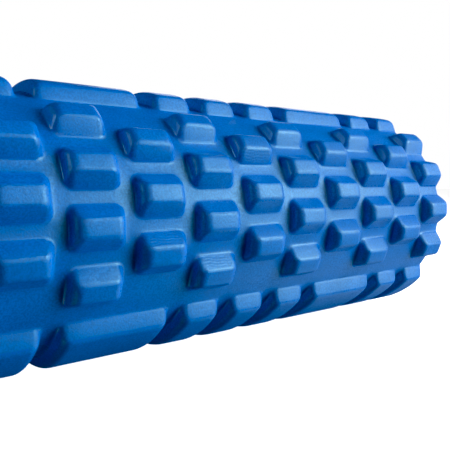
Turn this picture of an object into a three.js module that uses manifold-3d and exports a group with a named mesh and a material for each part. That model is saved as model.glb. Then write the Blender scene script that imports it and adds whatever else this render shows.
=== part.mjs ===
// Grid foam roller: a moulded foam mat wrapped round a rigid hollow core and bonded to it.
// Millimetres. The roller lies on its side, its axis along X, and Z = 0 is the surface that it
// rests on. Angles are in degrees round the axis, from -Y (0) up through +Z (90).

import * as THREE from 'three';
import * as BufferGeometryUtils from 'three/addons/utils/BufferGeometryUtils.js';
import Module from 'manifold-3d';

// ---------------------------------------------------------------- driving dimensions

const LENGTH = 330;             // foam cover, rim to rim
const TREAD_RADIUS = 70.5;      // crests of the blocks and bars
const MAT_RADIUS = 63.5;        // smooth face of the mat between them
const CORE_RADIUS = 55;         // outside of the rigid core
const CORE_WALL = 4;
const CORE_RECESS = 1;          // the core's end faces lie this far inside the foam rim
const BOND_THICKNESS = 0.4;     // layer of contact adhesive
const FIT_GAP = 0.3;            // clearance between touching pieces
const FACETS = 54;              // flats round the roller, one of them centred underneath

const PITCH = 31;               // axial pitch of the tread pattern
const COLUMNS = 11;             // pitches along the mat, the outer two trimmed at the rims

const ROWS = 7;                 // staggered rows in each block zone
const ROW_STEP = 11.58;         // angle between rows
const BLOCK_ZONE_ANGLE = 13.7;  // middle row of the first block zone
const BLOCK = {                 // distances in from the pitch lines, and half-angles
  footInset: 3.1,
  crestInset: 6.1,
  footAngle: 9.07,
  crestAngle: 3.38,
};

const BAR_WIDTHS = [1, 1, 2, 1, 1, 1, 2, 1, 1];   // in pitches, from the +X rim
const BAR = {
  footInset: 3.7,
  crestInset: 6.2,
  footAngle: 38.74,
  crestAngle: 33.0,
};

const ROOT_DEPTH = 1.5;         // how far the treads reach down into the mat
const FEATHER_EDGE = 0.01;      // thickness of a slope's end, inside the mat
const SEAM_FILL = {             // the adhesive in the butt joint, back from the mat's two faces
  innerInset: 0.2,
  outerInset: 0.6,
};

// ---------------------------------------------------------------- derived dimensions

const ZONE_TURNS = [0, 180];    // the pattern repeats on the opposite side
const BAR_ZONE_ANGLE = BLOCK_ZONE_ANGLE - 90;
const FACET_STEP = 360 / FACETS;
const FIRST_CORNER = -90 + FACET_STEP / 2;
const ROOT_RADIUS = MAT_RADIUS - ROOT_DEPTH;
const BOND_INNER_RADIUS = CORE_RADIUS + FIT_GAP;
const BOND_OUTER_RADIUS = BOND_INNER_RADIUS + BOND_THICKNESS;
const MAT_INNER_RADIUS = BOND_OUTER_RADIUS + FIT_GAP;
const SEAM_WIDTH = BOND_THICKNESS + 2 * FIT_GAP;
const CORE_LENGTH = LENGTH - 2 * CORE_RECESS;

// The butt joint runs down the smooth band between a block zone and a bar zone.
const BLOCK_ZONE_EDGE = (ROWS - 1) / 2 * ROW_STEP + BLOCK.footAngle;
const BAR_ZONE_EDGE = 90 - BAR.footAngle;
const SEAM_ANGLE = BLOCK_ZONE_ANGLE + 180 + (BLOCK_ZONE_EDGE + BAR_ZONE_EDGE) / 2;

// The underside flats touch Z = 0, so the axis lies at their distance from it.
const AXIS_HEIGHT = TREAD_RADIUS * Math.cos(THREE.MathUtils.degToRad(FACET_STEP / 2));

// ---------------------------------------------------------------- solids

const wasm = await Module();
wasm.setup();

function toManifold(geometry) {
  const bare = geometry.index ? geometry.toNonIndexed() : geometry.clone();
  bare.deleteAttribute('normal');
  bare.deleteAttribute('uv');
  const merged = BufferGeometryUtils.mergeVertices(bare);
  return new wasm.Manifold(new wasm.Mesh({
    numProp: 3,
    vertProperties: new Float32Array(merged.attributes.position.array),
    triVerts: new Uint32Array(merged.index.array),
  }));
}

function toGeometry(solid) {
  const mesh = solid.getMesh();
  const geometry = new THREE.BufferGeometry();
  geometry.setAttribute('position', new THREE.BufferAttribute(mesh.vertProperties, 3));
  geometry.setIndex(new THREE.BufferAttribute(mesh.triVerts, 1));
  geometry.computeVertexNormals();
  return geometry;
}

// A point at a place along the roller, an angle round it and a distance from its axis.
function onRoller(x, angle, radius) {
  const turn = THREE.MathUtils.degToRad(angle);
  return new THREE.Vector3(x, -radius * Math.cos(turn), radius * Math.sin(turn));
}

// The angles of the facet corners that lie strictly between two angles.
function cornersBetween(from, to) {
  const first = Math.ceil((from - FIRST_CORNER) / FACET_STEP + 0.1);
  const last = Math.floor((to - FIRST_CORNER) / FACET_STEP - 0.1);
  return Array.from({ length: last - first + 1 }, (_, i) => FIRST_CORNER + (first + i) * FACET_STEP);
}

// A faceted tube round the axis, its outer and inner corners on the same angles.
function tube(outerRadius, innerRadius, length) {
  const ring = (radius) => Array.from({ length: FACETS }, (_, i) => {
    const corner = onRoller(0, FIRST_CORNER + i * FACET_STEP, radius);
    return new THREE.Vector2(corner.y, corner.z);
  });
  const section = new THREE.Shape(ring(outerRadius));
  section.holes.push(new THREE.Path(ring(innerRadius).reverse()));
  const geometry = new THREE.ExtrudeGeometry(section, { depth: length, bevelEnabled: false });
  // The extrusion's own X, Y and Z become the roller's Y, Z and X.
  const axes = new THREE.Matrix4().makeBasis(
    new THREE.Vector3(0, 1, 0), new THREE.Vector3(0, 0, 1), new THREE.Vector3(1, 0, 0));
  return geometry.applyMatrix4(axes).translate(-length / 2, 0, 0);
}

// A closed skin through sections that have the same number of corners, capped at both ends.
// Each four-sided patch folds outwards, so that sloping sides meet in a clean hip.
function loft(sections) {
  const triangles = [];
  const corners = sections[0].length;
  for (let i = 0; i + 1 < sections.length; i += 1) {
    for (let j = 0; j < corners; j += 1) {
      const k = (j + 1) % corners;
      const [a, b] = [sections[i][j], sections[i][k]];
      const [c, d] = [sections[i + 1][k], sections[i + 1][j]];
      const normal = new THREE.Vector3().subVectors(b, a).cross(new THREE.Vector3().subVectors(c, a));
      const foldsOut = normal.dot(new THREE.Vector3().subVectors(d, a)) <= 1e-6;
      triangles.push(...(foldsOut ? [a, b, c, a, c, d] : [a, b, d, b, c, d]));
    }
  }
  const start = sections[0];
  const end = sections[sections.length - 1];
  for (let j = 1; j + 1 < corners; j += 1) {
    triangles.push(start[0], start[j + 1], start[j]);
    triangles.push(end[0], end[j], end[j + 1]);
  }
  return new THREE.BufferGeometry().setFromPoints(triangles);
}

// A raised block or bar, from one pitch line to another, that slopes in on all four sides.
// Its slopes carry on down below the mat's face, to the root.
function tread(from, to, angle, shape) {
  const depth = (MAT_RADIUS - ROOT_RADIUS) / (TREAD_RADIUS - MAT_RADIUS);
  const rootInset = shape.footInset - depth * (shape.crestInset - shape.footInset);
  const rootAngle = shape.footAngle + depth * (shape.footAngle - shape.crestAngle);
  const section = (at, inset, radius) => [
    onRoller(from - rootInset, at, ROOT_RADIUS),
    onRoller(to + rootInset, at, ROOT_RADIUS),
    onRoller(to + inset, at, radius),
    onRoller(from - inset, at, radius),
  ];
  const crestStart = angle - shape.crestAngle;
  const crestEnd = angle + shape.crestAngle;
  const stations = [crestStart, ...cornersBetween(crestStart, crestEnd), crestEnd];
  return loft([
    section(angle - rootAngle, rootInset, ROOT_RADIUS + FEATHER_EDGE),
    ...stations.map((at) => section(at, shape.crestInset, TREAD_RADIUS)),
    section(angle + rootAngle, rootInset, ROOT_RADIUS + FEATHER_EDGE),
  ]);
}

const pitchLine = (column) => (COLUMNS / 2 - column) * PITCH;

// Every other column holds a block, and neighbouring rows are staggered by one column.
function blockZone(zoneAngle) {
  const blocks = [];
  for (let row = 0; row < ROWS; row += 1) {
    const angle = zoneAngle + (row - (ROWS - 1) / 2) * ROW_STEP;
    for (let column = row % 2; column < COLUMNS; column += 2) {
      blocks.push(tread(pitchLine(column), pitchLine(column + 1), angle, BLOCK));
    }
  }
  return blocks;
}

function barZone(zoneAngle) {
  let column = 0;
  return BAR_WIDTHS.map((width) => {
    const bar = tread(pitchLine(column), pitchLine(column + width), zoneAngle, BAR);
    column += width;
    return bar;
  });
}

// A radial slab at the butt joint, as thick as a given width.
function seamSlab(length, width, innerRadius, outerRadius) {
  const slab = new THREE.BoxGeometry(length, outerRadius - innerRadius, width);
  slab.translate(0, -(outerRadius + innerRadius) / 2, 0);
  return slab.rotateX(-THREE.MathUtils.degToRad(SEAM_ANGLE));
}

// ---------------------------------------------------------------- pieces

// The mat with its tread, trimmed flat at both rims and open along the butt joint.
function foamCover() {
  const treads = ZONE_TURNS.flatMap((turn) => [
    ...blockZone(BLOCK_ZONE_ANGLE + turn),
    ...barZone(BAR_ZONE_ANGLE + turn),
  ]);
  const mat = toManifold(tube(MAT_RADIUS, MAT_INNER_RADIUS, LENGTH));
  const moulding = treads.reduce((solid, next) => solid.add(toManifold(next)), mat);
  const across = 3 * TREAD_RADIUS;
  const betweenRims = toManifold(new THREE.BoxGeometry(LENGTH, across, across));
  const seamGap = toManifold(seamSlab(across + LENGTH, SEAM_WIDTH, CORE_RADIUS, TREAD_RADIUS));
  return toGeometry(moulding.intersect(betweenRims).subtract(seamGap));
}

function seamBond() {
  const innerRadius = MAT_INNER_RADIUS + SEAM_FILL.innerInset;
  return seamSlab(CORE_LENGTH, BOND_THICKNESS, innerRadius, MAT_RADIUS - SEAM_FILL.outerInset);
}

function bondFilm() {
  return tube(BOND_OUTER_RADIUS, BOND_INNER_RADIUS, CORE_LENGTH);
}

function coreTube() {
  return tube(CORE_RADIUS, CORE_RADIUS - CORE_WALL, CORE_LENGTH);
}

// ---------------------------------------------------------------- assembly

const foamBlue = new THREE.MeshStandardMaterial({ color: 0x1467c4, roughness: 0.55, metalness: 0 });
const plasticBlack = new THREE.MeshStandardMaterial({ color: 0x17181a, roughness: 0.4, metalness: 0 });
const adhesive = new THREE.MeshStandardMaterial({ color: 0xcfc39a, roughness: 0.35, metalness: 0 });

const roller = new THREE.Group();
roller.position.z = AXIS_HEIGHT;

function addPiece(name, geometry, material) {
  const piece = new THREE.Mesh(geometry, material);
  piece.name = name;
  roller.add(piece);
}

addPiece('foam_cover', foamCover(), foamBlue);
addPiece('seam_bond', seamBond(), adhesive);
addPiece('bond_film', bondFilm(), adhesive);
addPiece('core_tube', coreTube(), plasticBlack);

export default roller;
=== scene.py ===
"""A foam roller with a tread of blocks and bars, on a pale studio floor.

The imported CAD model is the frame. The foam cover, the adhesive and the core are rebuilt here as
fine meshes in the places of their CAD solids. Metres; the roller lies along X and rests on Z = 0.
Angles round the roller run in degrees from -Y (0) up through +Z (90).
"""

import bmesh
import bpy
import numpy as np
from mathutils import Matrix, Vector
from mathutils.geometry import delaunay_2d_cdt


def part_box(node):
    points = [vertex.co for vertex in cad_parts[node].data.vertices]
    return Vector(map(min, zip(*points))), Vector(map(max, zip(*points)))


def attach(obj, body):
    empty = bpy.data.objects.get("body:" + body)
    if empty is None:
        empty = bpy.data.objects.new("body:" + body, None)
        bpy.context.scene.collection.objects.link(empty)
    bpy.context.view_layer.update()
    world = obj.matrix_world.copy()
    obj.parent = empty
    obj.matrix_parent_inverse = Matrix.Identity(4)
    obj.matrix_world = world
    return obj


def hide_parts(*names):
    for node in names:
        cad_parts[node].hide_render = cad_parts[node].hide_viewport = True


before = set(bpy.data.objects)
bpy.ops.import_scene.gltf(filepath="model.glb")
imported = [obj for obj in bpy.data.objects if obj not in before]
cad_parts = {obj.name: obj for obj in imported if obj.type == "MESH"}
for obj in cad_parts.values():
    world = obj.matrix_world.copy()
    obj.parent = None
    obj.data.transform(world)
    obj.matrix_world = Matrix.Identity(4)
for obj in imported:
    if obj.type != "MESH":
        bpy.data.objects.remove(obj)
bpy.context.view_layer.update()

MM = 0.001

# ------------------------------------------------------------------ the frame's sizes

cover_low, cover_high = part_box("foam_cover")
core_low, core_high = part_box("core_tube")
film_low, film_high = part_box("bond_film")

HALF_LENGTH = cover_high.x
CORE_HALF_LENGTH = core_high.x
AXIS_HEIGHT = (cover_low.z + cover_high.z) / 2
TREAD_RADIUS = cover_high.y
CORE_RADIUS = core_high.y
FILM_RADIUS = film_high.y
CORE_WALL = 4 * MM
GLUE_GAP = 0.05 * MM            # between the film and what it joins
TREAD_HEIGHT = 7 * MM           # from the mat to the crests
MAT_RADIUS = TREAD_RADIUS - TREAD_HEIGHT
MIDDLE_RADIUS = (TREAD_RADIUS + MAT_RADIUS) / 2
MAT_INNER_RADIUS = FILM_RADIUS + GLUE_GAP

# ------------------------------------------------------------------ the tread

PITCH = 31 * MM                 # between neighbouring columns
COLUMNS = 11
ROWS = 7
ROW_STEP = 11.58                # degrees
BLOCK_ZONE_ANGLE = 13.7         # the zones' middles; both zones repeat half a turn further
BAR_ZONE_ANGLE = BLOCK_ZONE_ANGLE - 90
BAR_WIDTHS = [1, 1, 2, 1, 1, 1, 2, 1, 1]        # in pitches, from the right rim to the left

# insets are measured along the roller from the pitch lines, angles round it from the tread's middle
BLOCK = {
    "foot_inset": 3.1 * MM,
    "crest_inset": 4.7 * MM,
    "foot_angle": 9.07,
    "crest_angle": 3.38,
    "foot_corner": 4.4 * MM,
    "crest_corner": 1.8 * MM,
}
BAR = {
    "foot_inset": 3.7 * MM,
    "crest_inset": 5.3 * MM,
    "foot_angle": 38.74,
    "crest_angle": 33.0,
    "foot_corner": 4.4 * MM,
    "crest_corner": 1.8 * MM,
}

FOOT_FILLET = 1.9 * MM
SLOPE_ROUND = 3.2 * MM          # crest edges that face round the roller
SIDE_ROUND = 5.0 * MM           # crest edges that face along it

BEND_SHARE = 0.62               # how much of a round's radius its bend takes up in height
FOOT_LEVELS = 5
CREST_LEVELS = 9
CORNER_STEPS = 6
FEWEST_STEPS = 3
ALONG_STEP = 8 * MM
AROUND_STEP = 3.2 * MM

CREASED = [(0, 1, 7, 1), (0, 0, 6, 1), (0, 5, 5, -1)]     # turn, row, column, side of the crest
CREASED_STEP = 0.75 * MM
CREASED_HEIGHTS = 26
CREASE_SPACING = 1.1 * MM
CREASE_DEPTH = 0.09 * MM
CREASE_BENDS = [(1.3, 310, 0.6), (0.8, 770, 2.1), (0.5, 1500, 0)]      # size, radians per metre, phase
CREASE_SLANT = 120              # radians per metre along the crest
CREASE_MIDDLE = 0.66            # shares of half the foot's width
CREASE_REACH = 0.30
CREASE_LENGTH = 0.85            # share of half the foot's length
CREASE_SWELL = 0.2              # how far the skin rises between creases, as a share of their depth

WAVES = 14                      # in the unevenness of the skin
WAVE_HEIGHT = 0.02 * MM

MAT_STEPS_PER_PITCH = 4
MAT_POINTS_AROUND = 124
MAT_CLEARANCE = 0.9 * MM        # from the mat's loose points to the treads
BORE_POINTS = (13, 91)          # along the roller and round it
MERGE = 2e-6                    # points closer than this are one
SLACK = 1e-6                    # for telling which points lie on an edge
CDT_SLACK = 1e-5                # the same for the triangulation, in millimetres

ROUND_BENDS = [18, 36, 54, 72, 90]      # degrees over a rounded rim or seam edge
RIM_ROUND = 1.4 * MM
SEAM_HALF_GAP = 0.25 * MM
SEAM_ROUND = 0.7 * MM
EDGE_STEP = 0.35 * MM           # spacing of the loops beside the end faces' edges
BORE_EDGE = [(0, 3), (0, 1), (1, 0), (3, 0)]    # steps in from the end face, and out from the bore

BLOCK_ZONE_EDGE = (ROWS - 1) / 2 * ROW_STEP + BLOCK["foot_angle"]
BAR_ZONE_EDGE = 90 - BAR["foot_angle"]
SEAM_ANGLE = BLOCK_ZONE_ANGLE + 180 + (BLOCK_ZONE_EDGE + BAR_ZONE_EDGE) / 2


def treads():
    """Every block and bar: its middle along the roller and round it, length, shape and creased sides."""
    found = []
    for turn in (0, 180):
        for row in range(ROWS):
            angle = BLOCK_ZONE_ANGLE + turn + (row - (ROWS - 1) / 2) * ROW_STEP
            for column in range(row % 2, COLUMNS, 2):
                middle = (COLUMNS / 2 - column - 0.5) * PITCH
                sides = [side for *place, side in CREASED if place == [turn, row, column]]
                found.append((middle, angle, PITCH, BLOCK, sides))
        column = 0
        for width in BAR_WIDTHS:
            middle = (COLUMNS / 2 - column - width / 2) * PITCH
            found.append((middle, BAR_ZONE_ANGLE + turn, width * PITCH, BAR, []))
            column += width
    return found


def turned(angle):
    """The same angle, between -180 and 180."""
    return (angle + 180) % 360 - 180


def waviness(x, angle):
    """The slight unevenness of moulded foam, as a height: waves along and round the roller."""
    rng = np.random.default_rng(7)
    total = np.zeros(np.broadcast(x, angle).shape)
    for _ in range(WAVES):
        turns = rng.integers(2, 22)
        waves = rng.uniform(10, 160)
        phase, size = rng.uniform(0, 2 * np.pi), rng.uniform(0.3, 1)
        total += size * np.sin(waves * x + turns * np.radians(angle) + phase)
    return total * WAVE_HEIGHT


def ring_heights():
    """Heights that a tread is lofted through, close together where its profile bends."""
    foot = FOOT_FILLET * BEND_SHARE * np.linspace(0, 1, FOOT_LEVELS) ** 1.6
    crest = TREAD_HEIGHT - SIDE_ROUND * BEND_SHARE * np.linspace(1, 0, CREST_LEVELS) ** 2
    return np.concatenate([foot, [(foot[-1] + crest[0]) / 2], crest])


def creases(along, width, half_length, foot_width):
    """How deep the fine wrinkles in a creased slope are, at places measured from a block's middle."""
    bend = sum(size * np.sin(waves * along + phase) for size, waves, phase in CREASE_BENDS)
    wave = np.sin(2 * np.pi * width / CREASE_SPACING + bend + CREASE_SLANT * along)
    from_middle = np.abs(width - foot_width * CREASE_MIDDLE)
    fade_out = 1 - np.clip(from_middle / (foot_width * CREASE_REACH), 0, 1) ** 2
    fade_along = 1 - np.clip(np.abs(along) / (half_length * CREASE_LENGTH), 0, 1) ** 4
    return CREASE_DEPTH * fade_out * fade_along * np.maximum(wave, -CREASE_SWELL)


def inset(height, run, crest_round):
    """How far in from its foot line a side has come at a height, with its foot and crest rounded."""
    lean = np.arctan2(TREAD_HEIGHT, run)
    foot_back = FOOT_FILLET * np.tan(lean / 2)
    crest_back = crest_round * np.tan(lean / 2)
    below = TREAD_HEIGHT - height
    if height < FOOT_FILLET * (1 - np.cos(lean)):
        return np.sqrt(FOOT_FILLET**2 - (FOOT_FILLET - height) ** 2) - foot_back
    if below < crest_round * (1 - np.cos(lean)):
        return run + crest_back - np.sqrt(crest_round**2 - (crest_round - below) ** 2)
    return height * run / TREAD_HEIGHT


def level(height, length, shape):
    """A tread's outline at a height, as half its length, half its width and its corner radius."""
    foot_width = np.radians(shape["foot_angle"]) * MIDDLE_RADIUS
    slope_run = np.radians(shape["foot_angle"] - shape["crest_angle"]) * MIDDLE_RADIUS
    side_run = shape["crest_inset"] - shape["foot_inset"]
    half_length = length / 2 - shape["foot_inset"] - inset(height, side_run, SIDE_ROUND)
    half_width = foot_width - inset(height, slope_run, SLOPE_ROUND)
    share = height / TREAD_HEIGHT
    corner = shape["foot_corner"] * (1 - share) + shape["crest_corner"] * share
    return half_length, half_width, corner


def patch(half_length, half_width, corner, along_steps, around_steps):
    """A grid of points over a rounded rectangle: rows across its length, from one side to the other."""
    arc = np.radians(np.linspace(-90, 0, CORNER_STEPS + 1))
    corner_x = half_length - corner + corner * np.cos(arc)
    corner_w = -half_width + corner + corner * np.sin(arc)
    straight = np.linspace(-1, 1, around_steps + 1)[1:-1] * (half_width - corner)
    x = np.concatenate([corner_x, np.full(len(straight), half_length), corner_x[::-1]])
    width = np.concatenate([corner_w, straight, -corner_w[::-1]])
    across = np.linspace(1, -1, along_steps + 1)
    return np.stack([x[:, None] * across, np.repeat(width[:, None], len(across), 1)], -1)


def edge_of(grid):
    """The points round the edge of a grid, in order."""
    return np.concatenate([grid[:, 0], grid[-1, 1:-1], grid[::-1, -1], grid[0, -2:0:-1]])


def numbered(points):
    """The numbers of a grid of points, in the grid's shape."""
    rows, columns = points.shape[:2]
    return np.arange(rows * columns).reshape(rows, columns)


def ring_quads(index):
    """Faces between closed rings of numbered points, with one ring in each row."""
    near, far = index[:-1], index[1:]
    return np.stack([near, np.roll(near, -1, 1), np.roll(far, -1, 1), far], -1).reshape(-1, 4)


def grid_quads(index):
    """Faces over a grid of numbered points."""
    corners = [index[:-1, :-1], index[1:, :-1], index[1:, 1:], index[:-1, 1:]]
    return np.stack(corners, -1).reshape(-1, 4)


class Surface:
    """Points kept as (along, angle, radius), and faces between them."""

    def __init__(self):
        self.points, self.faces, self.count = [], [], 0

    def add(self, x, angle, radius, faces):
        x, angle, radius = np.broadcast_arrays(x, angle, radius)
        self.points.append(np.stack([x.ravel(), angle.ravel(), radius.ravel()], -1))
        self.faces += (np.asarray(faces) + self.count).tolist()
        self.count += x.size


def add_tread(surface, middle, centre, length, shape, creased_sides):
    """One block or bar; returns its outline on the mat, as (along, angle)."""
    heights = ring_heights()
    along_step = ALONG_STEP
    if creased_sides:
        fillet_top = heights[FOOT_LEVELS - 1]
        heights = np.union1d(heights, np.linspace(fillet_top, TREAD_HEIGHT, CREASED_HEIGHTS))
        along_step = CREASED_STEP
    foot = level(0, length, shape)
    along_steps = max(FEWEST_STEPS, round(2 * foot[0] / along_step))
    around_steps = max(FEWEST_STEPS, round(2 * (foot[1] - foot[2]) / AROUND_STEP))
    grids = [patch(*level(height, length, shape), along_steps, around_steps) for height in heights]
    rings = np.stack([edge_of(grid) for grid in grids])
    top = grids[-1]

    def angle_at(points):
        return centre + np.degrees(points[..., 1] / MIDDLE_RADIUS)

    def place(points, radius, faces):
        for side in creased_sides:
            radius = radius - creases(points[..., 0], points[..., 1] * side, *foot[:2])
        surface.add(middle + points[..., 0], angle_at(points), radius, faces)

    place(rings, MAT_RADIUS + heights[:, None], ring_quads(numbered(rings)))
    place(top, TREAD_RADIUS, grid_quads(numbered(top)))
    return np.stack([middle + rings[0, :, 0], angle_at(rings[0])], -1)


def beyond_tread(x, angle, margin):
    """Which places lie at least a margin away from every block and bar."""
    clear = np.ones(x.shape, bool)
    for middle, centre, length, shape, _ in treads():
        half_length, half_width, corner = level(0, length, shape)
        along = np.abs(x - middle) - half_length + corner
        width = np.abs(np.radians(turned(angle - centre))) * MIDDLE_RADIUS - half_width + corner
        outside = np.hypot(np.maximum(along, 0), np.maximum(width, 0)) - corner
        inside = np.minimum(np.maximum(along, width), 0)
        clear &= outside + inside > margin
    return clear


def filled(boundaries, x, angle, keep=None):
    """Triangles between closed outlines and over loose points, all as (along, angle)."""
    scale = np.array([1, np.radians(1) * MIDDLE_RADIUS]) / MM
    points, edges = [], []
    for outline in boundaries:
        start = sum(len(part) for part in points)
        index = np.arange(start, start + len(outline))
        edges += np.stack([index, np.roll(index, -1)], -1).tolist()
        points.append(outline)
    points.append(np.stack([x, angle], -1))
    flat = [Vector(point) for point in np.concatenate(points) * scale]
    corners, _, faces, *_ = delaunay_2d_cdt(flat, edges, [], 0, CDT_SLACK)
    corners = np.array([tuple(corner) for corner in corners]) / scale
    faces = np.array(faces)
    if keep is not None:
        middle = corners[faces].mean(1)
        faces = faces[keep(middle[:, 0], middle[:, 1])]
    return corners, faces


def add_mat(surface, outlines, first, last):
    """The smooth surface between the treads, from one seam edge to the other."""
    half = COLUMNS * PITCH / 2
    x = np.linspace(-half, half, MAT_STEPS_PER_PITCH * COLUMNS + 1)
    angle = np.linspace(first, last, MAT_POINTS_AROUND)
    ends = [np.stack([np.full(len(angle), end), angle], -1) for end in (-half, half)]
    sides = [np.stack([x[1:-1], np.full(len(x) - 2, side)], -1) for side in (first, last)]
    border = np.concatenate([ends[0], sides[1], ends[1][::-1], sides[0][::-1]])
    loose_x, loose_angle = (values.ravel() for values in np.meshgrid(x[1:-1], angle[1:-1]))
    clear = beyond_tread(loose_x, loose_angle, MAT_CLEARANCE)
    corners, faces = filled([border, *outlines], loose_x[clear], loose_angle[clear],
                            keep=lambda x, angle: beyond_tread(x, angle, 0))
    surface.add(corners[:, 0], corners[:, 1], MAT_RADIUS, faces)


def add_object(name, data):
    """A mesh, camera or light as an object in the scene."""
    thing = bpy.data.objects.new(name, data)
    bpy.context.scene.collection.objects.link(thing)
    return thing


def finish_mesh(solid, mesh):
    """Splits the faces of more than four corners, turns every face outwards and shades it smooth."""
    bmesh.ops.triangulate(solid, faces=[face for face in solid.faces if len(face.verts) > 4])
    bmesh.ops.recalc_face_normals(solid, faces=solid.faces)
    solid.to_mesh(mesh)
    solid.free()
    mesh.shade_smooth()


def closed_loops(name, loops, cap_ends):
    """A solid from closed loops of points, as (loops, corners, 3), capped or joined end to end."""
    index = numbered(loops)
    if cap_ends:
        faces = ring_quads(index).tolist() + [index[0][::-1].tolist(), index[-1].tolist()]
    else:
        faces = ring_quads(np.vstack([index, index[:1]])).tolist()
    mesh = bpy.data.meshes.new(name)
    mesh.from_pydata(loops.reshape(-1, 3).tolist(), [], faces)
    solid = bmesh.new()
    solid.from_mesh(mesh)
    finish_mesh(solid, mesh)
    return add_object(name, mesh)


def on_roller(x, angle, radius):
    """Points at places along the roller, angles round it and distances from its axis."""
    turn = np.radians(angle)
    x, turn, radius = np.broadcast_arrays(x, turn, radius)
    return np.stack([x, -radius * np.cos(turn), AXIS_HEIGHT + radius * np.sin(turn)], -1)


# ------------------------------------------------------------------ foam cover

def outer_surface(first, last):
    """The treads and the mat between them, unrolled: x along, y round and z out from the axis."""
    surface = Surface()
    outlines = []
    for middle, centre, *form in treads():
        centre = SEAM_ANGLE + (centre - SEAM_ANGLE) % 360
        outlines.append(add_tread(surface, middle, centre, *form))
    add_mat(surface, outlines, first, last)
    x, angle, radius = np.concatenate(surface.points).T
    radius = radius + waviness(x, angle)
    flat = np.stack([x, np.radians(angle) * MIDDLE_RADIUS, radius], -1)
    mesh = bpy.data.meshes.new("foam_cover_moulding")
    mesh.from_pydata(flat.tolist(), [], surface.faces)
    return mesh


def border_loop(sheet):
    """The vertices round the open edge of a sheet, in order."""
    open_edges = [edge for edge in sheet.edges if len(edge.link_faces) == 1]
    start = vert = open_edges[0].verts[0]
    edge = open_edges[0]
    loop = []
    while True:
        loop.append(vert)
        vert = edge.other_vert(vert)
        if vert is start:
            return loop
        edge = next(e for e in vert.link_edges if e is not edge and len(e.link_faces) == 1)


def add_ring(sheet, ring, places):
    """One more ring of vertices outside a ring, joined to it by faces."""
    outer = [sheet.verts.new(place) for place in places.tolist()]
    for i, vert in enumerate(ring):
        sheet.faces.new([ring[i - 1], vert, outer[i], outer[i - 1]])
    return outer


def close_cover(sheet, cut):
    """Rounds the rims and the seam's edges over, and adds the end faces, seam faces and bore."""
    ring = border_loop(sheet)
    start = np.array([vert.co[:] for vert in ring])
    rim = np.abs(start[:, 0]) > cut - SLACK
    width = start[:, 1]
    seam = (width < width.min() + SLACK) | (width > width.max() - SLACK)
    seam_side = np.where(width > width.mean(), 1, -1) * seam * MIDDLE_RADIUS / MAT_RADIUS
    rim_side = np.sign(start[:, 0]) * rim
    places = start.copy()
    for bend in np.radians(ROUND_BENDS):
        places[:, 0] = start[:, 0] + rim_side * RIM_ROUND * np.sin(bend)
        places[:, 1] = start[:, 1] + seam_side * SEAM_ROUND * np.sin(bend)
        places[:, 2] = start[:, 2] - np.where(rim, RIM_ROUND, SEAM_ROUND) * (1 - np.cos(bend))
        ring = add_ring(sheet, ring, places)
    places[:, 2] -= EDGE_STEP
    ring = add_ring(sheet, ring, places)
    for back, rise in BORE_EDGE:
        places[:, 0] = start[:, 0] + rim_side * (RIM_ROUND - back * EDGE_STEP)
        places[:, 2] = MAT_INNER_RADIUS + rise * EDGE_STEP
        ring = add_ring(sheet, ring, places)
    fill_bore(sheet, places)


def fill_bore(sheet, places):
    """The cylinder inside the cover, from rim to rim, within a border at these places."""
    outline = np.stack([places[:, 0], np.degrees(places[:, 1] / MIDDLE_RADIUS)], -1)
    low, high = outline.min(0), outline.max(0)
    x = np.linspace(low[0], high[0], BORE_POINTS[0])[1:-1]
    angle = np.linspace(low[1], high[1], BORE_POINTS[1])[1:-1]
    loose_x, loose_angle = (values.ravel() for values in np.meshgrid(x, angle))
    corners, faces = filled([outline], loose_x, loose_angle)
    places = np.stack([corners[:, 0], np.radians(corners[:, 1]) * MIDDLE_RADIUS], -1)
    verts = [sheet.verts.new((x, width, MAT_INNER_RADIUS)) for x, width in places.tolist()]
    for face in faces.tolist():
        sheet.faces.new([verts[i] for i in face])
    bmesh.ops.remove_doubles(sheet, verts=sheet.verts, dist=MERGE)


def make_cover():
    """The moulded mat: cut to length while it is flat, closed, and rolled up round the axis."""
    edge = np.degrees((SEAM_HALF_GAP + SEAM_ROUND) / MAT_RADIUS)
    mesh = outer_surface(SEAM_ANGLE + edge, SEAM_ANGLE + 360 - edge)
    sheet = bmesh.new()
    sheet.from_mesh(mesh)
    bmesh.ops.remove_doubles(sheet, verts=sheet.verts, dist=MERGE)
    cut = HALF_LENGTH - RIM_ROUND
    for side in (-1, 1):
        everything = sheet.verts[:] + sheet.edges[:] + sheet.faces[:]
        bmesh.ops.bisect_plane(sheet, geom=everything, dist=MERGE, plane_co=(side * cut, 0, 0),
                               plane_no=(side, 0, 0), clear_outer=True)
    close_cover(sheet, cut)
    for vert in sheet.verts:
        x, width, radius = vert.co
        turn = width / MIDDLE_RADIUS
        vert.co = (x, -radius * np.cos(turn), AXIS_HEIGHT + radius * np.sin(turn))
    finish_mesh(sheet, mesh)
    cover = add_object(mesh.name, mesh)
    mesh.materials.append(foam_material())
    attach(cover, "root")
    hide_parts("foam_cover")
    return cover


# ------------------------------------------------------------------ core and adhesive

CORE_STEP = 2.0                 # degrees
CORE_BEVEL = 0.8 * MM
BEVEL_SOFTNESS = 0.15 * MM      # how far the bevel's corners are rounded off
BEVEL_DROP = BEVEL_SOFTNESS * 0.6
CORE_LOOPS = (0.8, 0.4, 0, -0.4, -0.8)          # along the bore, as shares of half the length

# the film of adhesive round the core
FILM_STEP = 1.5                 # degrees
FILM_END_GAP = 0.7 * MM
FILM_WANDER = 0.25 * MM
FILM_LIP = 0.12 * MM            # rounding of the film's two edges
FILM_EDGE = 0.3 * MM

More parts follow.
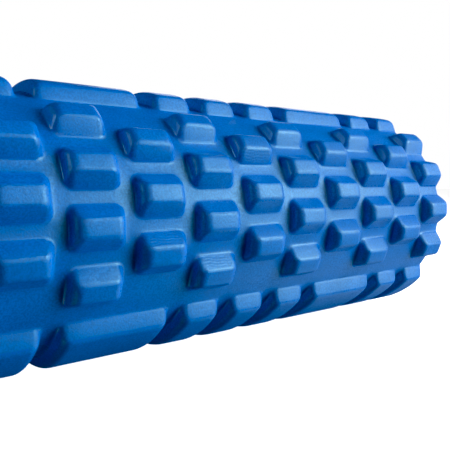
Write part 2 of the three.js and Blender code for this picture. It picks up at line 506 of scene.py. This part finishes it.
# the strip of adhesive in the seam
STRIP_POINTS = 221
STRIP_HALF_WIDTH = 0.2 * MM
STRIP_END_GAP = 0.4 * MM
STRIP_INNER_GAP = 0.3 * MM
STRIP_DEPTH = 0.75 * MM         # of its outer edge below the mat
STRIP_WANDER = 0.06 * MM
STRIP_CROWN = 0.1 * MM


def make_core():
    """The rigid tube, its ends chamfered inside and out."""
    angles = np.arange(0, 360, CORE_STEP)
    bevel, soft, drop = CORE_BEVEL, BEVEL_SOFTNESS, BEVEL_DROP
    inner = CORE_RADIUS - CORE_WALL
    half = CORE_HALF_LENGTH
    right = [
        (half - bevel - soft, CORE_RADIUS), (half - bevel + soft, CORE_RADIUS - drop),
        (half - drop, CORE_RADIUS - bevel + soft), (half, CORE_RADIUS - bevel - soft),
        (half, inner + bevel + soft), (half - drop, inner + bevel - soft),
        (half - bevel + soft, inner + drop), (half - bevel - soft, inner),
    ]
    left = [(-x, radius) for x, radius in reversed(right)]
    middles = [(share * half, inner) for share in CORE_LOOPS]
    outers = [(share * half, CORE_RADIUS) for share in (CORE_LOOPS[-1], CORE_LOOPS[0])]
    section = np.array(right + middles + left + outers)
    loops = on_roller(section[None, :, 0], angles[:, None], section[None, :, 1])
    core = closed_loops("core_tube_body", loops, cap_ends=False)
    core.data.materials.append(core_material())
    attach(core, "root")
    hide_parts("core_tube")
    return core


def make_film():
    """The contact adhesive round the core, brushed on, so its two edges wander a little."""
    angles = np.arange(0, 360, FILM_STEP)
    turn = np.radians(angles)
    rng = np.random.default_rng(11)
    edges = []
    for _ in range(2):
        wander = sum(np.sin(k * turn + rng.uniform(0, 6.3)) / k for k in (3, 5, 8, 13, 21))
        edges.append(CORE_HALF_LENGTH - FILM_END_GAP + FILM_WANDER * wander)
    inner, outer = CORE_RADIUS + GLUE_GAP, FILM_RADIUS
    back = np.array([[FILM_EDGE, 0, 0, FILM_EDGE]])
    right = edges[0][:, None] - back
    left = -edges[1][:, None] + back
    right_radius = np.array([outer, outer - FILM_LIP, inner + FILM_LIP, inner])
    x = np.hstack([right, left])
    radius = np.concatenate([right_radius, right_radius[::-1]])
    loops = on_roller(x, angles[:, None], radius[None, :])
    film = closed_loops("bond_film_layer", loops, cap_ends=False)
    film.data.materials.append(adhesive_material())
    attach(film, "root")
    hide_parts("bond_film")
    return film


def make_seam_bond():
    """The adhesive in the butt joint: a thin strip whose outer edge has set a little unevenly."""
    half = CORE_HALF_LENGTH - STRIP_END_GAP
    x = np.linspace(-half, half, STRIP_POINTS)
    place = x / half * np.pi
    rng = np.random.default_rng(5)
    wander = sum(np.sin(k * place + rng.uniform(0, 6.3)) / k**0.5 for k in (3, 7, 11, 17, 29, 43))
    outer = MAT_RADIUS - STRIP_DEPTH + STRIP_WANDER * wander
    inner = np.full_like(x, MAT_INNER_RADIUS + STRIP_INNER_GAP)
    side = np.degrees(STRIP_HALF_WIDTH / MAT_RADIUS)
    corners = [(-side, inner), (side, inner), (side, outer), (0, outer + STRIP_CROWN), (-side, outer)]
    loops = np.stack([on_roller(x, SEAM_ANGLE + turn, radius) for turn, radius in corners], 1)
    bond = closed_loops("seam_bond_strip", loops, cap_ends=True)
    bond.data.materials.append(adhesive_material())
    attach(bond, "root")
    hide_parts("seam_bond")
    return bond


# ------------------------------------------------------------------ materials

# pairs are the two colours that a pattern runs between
SKIN = [(0, 0.132, 0.518, 1), (0, 0.151, 0.593, 1)]
SPECKLE = (0.002, 0.045, 0.265, 1)
# painted highlight: a lighter blue for the foot fillets, to brighten the bright line there
FOOT_HIGHLIGHT_PAINT = (0.045, 0.215, 0.650, 1)
CUT_FOAM = [(0.001, 0.041, 0.180, 1), (0.003, 0.078, 0.310, 1)]
SKIN_GLOSS = (0.37, 0.81, 0.87, 1)
CORE_PLASTIC = [(0.030, 0.021, 0.022, 1), (0.042, 0.030, 0.031, 1)]
AMBER = [(0.32, 0.24, 0.10, 1), (0.52, 0.43, 0.24, 1)]
PALE = [(0.86, 0.86, 0.86, 1), (0.90, 0.90, 0.90, 1)]


class Graph:
    """Adds nodes to a new material and links them."""

    def __init__(self, name):
        self.material = bpy.data.materials.new(name)
        self.material.use_nodes = True
        self.tree = self.material.node_tree
        self.shader = self.tree.nodes["Principled BSDF"]
        self.place = self.add("ShaderNodeTexCoord").outputs["Object"]

    def add(self, kind, inputs=None, **settings):
        """A new node, with its inputs linked or filled in."""
        node = self.tree.nodes.new(kind)
        for key, value in settings.items():
            setattr(node, key, value)
        for key, value in (inputs or {}).items():
            self.set(node.inputs[key], value)
        return node

    def set(self, socket, value):
        """Links a socket to another, or gives it a fixed value."""
        if isinstance(value, bpy.types.NodeSocket):
            self.tree.links.new(value, socket)
        else:
            socket.default_value = value

    def math(self, operation, *values):
        node = self.add("ShaderNodeMath", operation=operation)
        for socket, value in zip(node.inputs, values):
            self.set(socket, value)
        return node.outputs[0]

    def noise(self, scale, detail=2.0, roughness=0.5, place=None):
        inputs = {"Vector": place or self.place, "Scale": scale, "Detail": detail, "Roughness": roughness}
        return self.add("ShaderNodeTexNoise", inputs).outputs["Fac"]

    def band(self, value, low, high, out_low=0.0, out_high=1.0):
        """value, moved smoothly from one range to another."""
        inputs = {"Value": value, "From Min": low, "From Max": high, "To Min": out_low, "To Max": out_high}
        return self.add("ShaderNodeMapRange", inputs, interpolation_type="SMOOTHSTEP").outputs["Result"]

    def ridge(self, value, start, full, end, gone):
        """1 while value lies between full and end, fading to 0 at start and gone."""
        return self.math("MULTIPLY", self.band(value, start, full), self.band(value, end, gone, 1.0, 0.0))

    def mix_colour(self, factor, first, second):
        node = self.add("ShaderNodeMix", data_type="RGBA")
        for socket, value in zip([node.inputs[0], node.inputs[6], node.inputs[7]], [factor, first, second]):
            self.set(socket, value)
        return node.outputs[2]

    def bump(self, height, distance, strength=1.0, normal=None):
        node = self.add("ShaderNodeBump", {"Height": height, "Distance": distance, "Strength": strength})
        if normal is not None:
            self.set(node.inputs["Normal"], normal)
        return node.outputs["Normal"]

    def axial_parts(self):
        """The place along the roller, and the distance from its axis."""
        parts = self.add("ShaderNodeSeparateXYZ", {"Vector": self.place}).outputs
        up = self.math("SUBTRACT", parts["Z"], AXIS_HEIGHT)
        square = self.math("MULTIPLY_ADD", parts["Y"], parts["Y"], self.math("MULTIPLY", up, up))
        return parts["X"], self.math("SQRT", square)


def foam_material():
    """Closed-cell EVA: a speckled moulded skin, smoother at feet and crests, with a painted highlight in
    the foot fillets, and cut porous ends.
    """
    g = Graph("moulded_foam")
    along, radius = g.axial_parts()
    cut = g.band(g.math("ABSOLUTE", along), HALF_LENGTH - 0.3 * MM, HALF_LENGTH - 0.05 * MM)
    height = g.math("SUBTRACT", radius, MAT_RADIUS)
    foot = g.ridge(height, 0.03 * MM, 0.5 * MM, 0.6 * MM, 1.5 * MM)
    crest = g.ridge(height, TREAD_HEIGHT - 1.6 * MM, TREAD_HEIGHT - 0.8 * MM,
                    TREAD_HEIGHT - 0.7 * MM, TREAD_HEIGHT - 0.05 * MM)
    smooth = g.math("MULTIPLY_ADD", crest, 0.6, foot)
    grain = g.noise(scale=1150, detail=2.0, roughness=0.6)
    mottle = g.noise(scale=420, detail=2.0, roughness=0.5)
    cloud = g.noise(scale=45, detail=3.0, roughness=0.55)
    cells = g.noise(scale=1900, detail=3.0, roughness=0.7)

    skin = g.mix_colour(g.band(cloud, 0.3, 0.7), *SKIN)
    speckled = g.mix_colour(g.band(grain, 0.36, 0.64, 0.0, 0.55), skin, SPECKLE)
    # painted highlight: a quarter of the lighter blue mixed into the foot fillets, lightening them as if
    # lit
    foot_highlighted = g.mix_colour(g.math("MULTIPLY", foot, 0.25), speckled, FOOT_HIGHLIGHT_PAINT)
    pores = g.band(g.math("ADD", cells, mottle), 0.8, 1.2)
    cut_face = g.mix_colour(pores, *CUT_FOAM)
    g.set(g.shader.inputs["Base Color"], g.mix_colour(cut, foot_highlighted, cut_face))

    skin_roughness = g.math("MULTIPLY_ADD", smooth, -0.18, g.band(grain, 0.36, 0.64, 0.33, 0.47))
    g.set(g.shader.inputs["Roughness"], g.math("MULTIPLY_ADD", cut, 0.2, skin_roughness))
    g.shader.inputs["IOR"].default_value = 1.5
    g.shader.inputs["Specular IOR Level"].default_value = 0.85
    g.shader.inputs["Specular Tint"].default_value = SKIN_GLOSS

    normal = g.bump(mottle, 0.08 * MM, 0.1)
    normal = g.bump(grain, 0.09 * MM, g.math("MULTIPLY_ADD", smooth, -0.5, 1.0), normal)
    normal = g.bump(cells, 0.2 * MM, g.math("MULTIPLY", cut, 0.8), normal)
    g.set(g.shader.inputs["Normal"], normal)
    return g.material


def core_material():
    """Extruded plastic, drawn lengthwise."""
    g = Graph("extruded_core")
    stretch = g.add("ShaderNodeMapping", {"Vector": g.place, "Scale": (6, 900, 900)})
    lines = g.noise(scale=1.0, detail=3.0, roughness=0.6, place=stretch.outputs["Vector"])
    speck = g.noise(scale=900)
    g.set(g.shader.inputs["Base Color"], g.mix_colour(lines, *CORE_PLASTIC))
    g.set(g.shader.inputs["Roughness"], g.band(speck, 0.3, 0.7, 0.5, 0.62))
    g.shader.inputs["Specular IOR Level"].default_value = 0.3
    g.set(g.shader.inputs["Normal"], g.bump(lines, 0.05 * MM, 0.5))
    return g.material


def adhesive_material():
    """Dried contact adhesive, amber and a little uneven."""
    g = Graph("dried_adhesive")
    streaks = g.noise(scale=260, detail=3.0)
    g.set(g.shader.inputs["Base Color"], g.mix_colour(streaks, *AMBER))
    g.set(g.shader.inputs["Roughness"], g.band(streaks, 0.3, 0.7, 0.25, 0.45))
    g.set(g.shader.inputs["Normal"], g.bump(streaks, 0.1 * MM, 0.6))
    return g.material


def floor_material():
    """Pale matt studio floor."""
    g = Graph("studio_floor")
    g.set(g.shader.inputs["Base Color"], g.mix_colour(g.noise(scale=3.0, detail=4.0), *PALE))
    g.shader.inputs["Roughness"].default_value = 0.7
    return g.material


# ------------------------------------------------------------------ studio

VIEW_YAW = 37.99                # degrees from +Y towards +X
VIEW_PITCH = -4.55
VIEW_PLACE = (-190.1 * MM, -273.9 * MM, 21.5 * MM)      # from the roller's middle
VIEW_LENS = 43.83
SENSOR_WIDTH = 36
CLIP_START = 0.01
FLOOR_REACH = 6
LIGHT_DISTANCE = 1.6
NEAR_DISTANCE = 0.75
WHITE = (1, 1, 1)
COOL_PINK = (1, 0.85, 0.92)
PINK = (1, 0.75, 0.85)
CORAL = (1, 0.55, 0.5)
FLOOR_LIGHT = 3.7
AMBIENT = 0.01
BLACK_LEVELS = (0.023, 0.003, 0.003)


def make_camera():
    """The view from in front of the roller's left half, along it to the right."""
    data = bpy.data.cameras.new("view")
    data.lens = VIEW_LENS
    data.sensor_width = SENSOR_WIDTH
    data.clip_start = CLIP_START
    camera = add_object("view", data)
    camera.location = Vector(VIEW_PLACE) + Vector((0, 0, AXIS_HEIGHT))
    camera.rotation_euler = (np.radians(90 + VIEW_PITCH), 0, np.radians(-VIEW_YAW))
    bpy.context.scene.camera = camera


def make_floor():
    """A pale floor that throws no light or reflection back at the roller."""
    mesh = bpy.data.meshes.new("floor")
    corners = [(x * FLOOR_REACH, y * FLOOR_REACH, 0) for x, y in ((-1, -1), (1, -1), (1, 1), (-1, 1))]
    mesh.from_pydata(corners, [], [(0, 1, 2, 3)])
    mesh.materials.append(floor_material())
    floor = add_object("floor", mesh)
    floor.visible_diffuse = floor.visible_glossy = floor.visible_shadow = False
    return floor


def add_light(name, kind, azimuth, elevation, distance):
    """A light aimed at the roller's middle. Azimuth 0 is from -Y, 90 from +X."""
    light = add_object(name, bpy.data.lights.new(name, kind))
    turn, rise = np.radians(azimuth), np.radians(elevation)
    away = Vector((np.sin(turn) * np.cos(rise), -np.cos(turn) * np.cos(rise), np.sin(rise)))
    light.location = Vector((0, 0, AXIS_HEIGHT)) + away * distance
    light.rotation_euler = away.to_track_quat("Z", "Y").to_euler()
    light.visible_camera = False
    return light


def softbox(name, azimuth, elevation, width, height, power, colour=WHITE, distance=LIGHT_DISTANCE,
            on_gloss=True, on_body=True):
    """A soft rectangular light, in degrees, metres and watts.

    It can be kept off the gloss, or off the body colour.
    """
    light = add_light(name, "AREA", azimuth, elevation, distance)
    light.data.shape = "RECTANGLE"
    light.data.size, light.data.size_y = width, height
    light.data.energy = power
    light.data.color = colour
    light.visible_glossy, light.visible_diffuse = on_gloss, on_body


def make_lights():
    """A tall key, side lights and a sheen; the fills stand in for light off the table and the room.

    Those with an elevation below zero shine up through the floor, which blocks no light.
    """
    softbox("key", 41, 19, 1.0, 1.9, 23.2)
    softbox("key_core", 41, 20, 0.4, 0.5, 4.6)
    softbox("left_side", -93, 18, 0.9, 1.5, 15, colour=COOL_PINK)
    softbox("right_side", 88, 5, 0.6, 1.2, 3)
    softbox("rim", 140, 24, 0.8, 0.6, 3.8)
    softbox("low_right", 75, -40, 1.6, 0.8, 1.2)
    softbox("low_left", -84, -47, 1.0, 0.7, 3, colour=PINK)
    softbox("front_sheen", -8, 20, 1.3, 1.5, 9, colour=CORAL, on_body=False)
    softbox("right_fill", 90, 35, 1.2, 1.6, 13, on_gloss=False)
    softbox("right_end", 60, 15, 0.5, 0.5, 3.6, distance=NEAR_DISTANCE, on_gloss=False)
    softbox("low_right_fill", 80, -35, 1.4, 1.2, 8, on_gloss=False)
    softbox("low_right_end", 65, -40, 0.5, 0.5, 2.4, distance=NEAR_DISTANCE, on_gloss=False)
    softbox("back", 190, 14, 1.0, 1.0, 28, on_gloss=False)


def make_floor_light(floor):
    """An even light on the floor alone, so that it stays white without lighting the roller."""
    light = add_light("floor_light", "SUN", 0, 90, 3)
    light.data.energy = FLOOR_LIGHT
    light.data.use_shadow = False
    floor_only = bpy.data.collections.new("floor_only")
    floor_only.objects.link(floor)
    light.light_linking.receiver_collection = floor_only


def make_world():
    """White to the camera, and a weak even light on everything else."""
    world = bpy.data.worlds.new("studio")
    world.use_nodes = True
    nodes, links = world.node_tree.nodes, world.node_tree.links
    seen = nodes.new("ShaderNodeLightPath").outputs["Is Camera Ray"]
    strength = nodes.new("ShaderNodeMapRange")
    strength.inputs["To Min"].default_value = AMBIENT
    links.new(seen, strength.inputs["Value"])
    links.new(strength.outputs["Result"], nodes["Background"].inputs["Strength"])
    nodes["Background"].inputs["Color"].default_value = (1, 1, 1, 1)
    bpy.context.scene.world = world


def set_grade():
    """The plain view transform, with a black level on each channel, red's highest, for a pure blue."""
    view = bpy.context.scene.view_settings
    view.view_transform = "Standard"
    view.use_curve_mapping = True
    view.curve_mapping.black_level = BLACK_LEVELS
    view.curve_mapping.update()


make_camera()
make_cover()
make_core()
make_film()
make_seam_bond()
floor = make_floor()
make_lights()
make_floor_light(floor)
make_world()
set_grade()
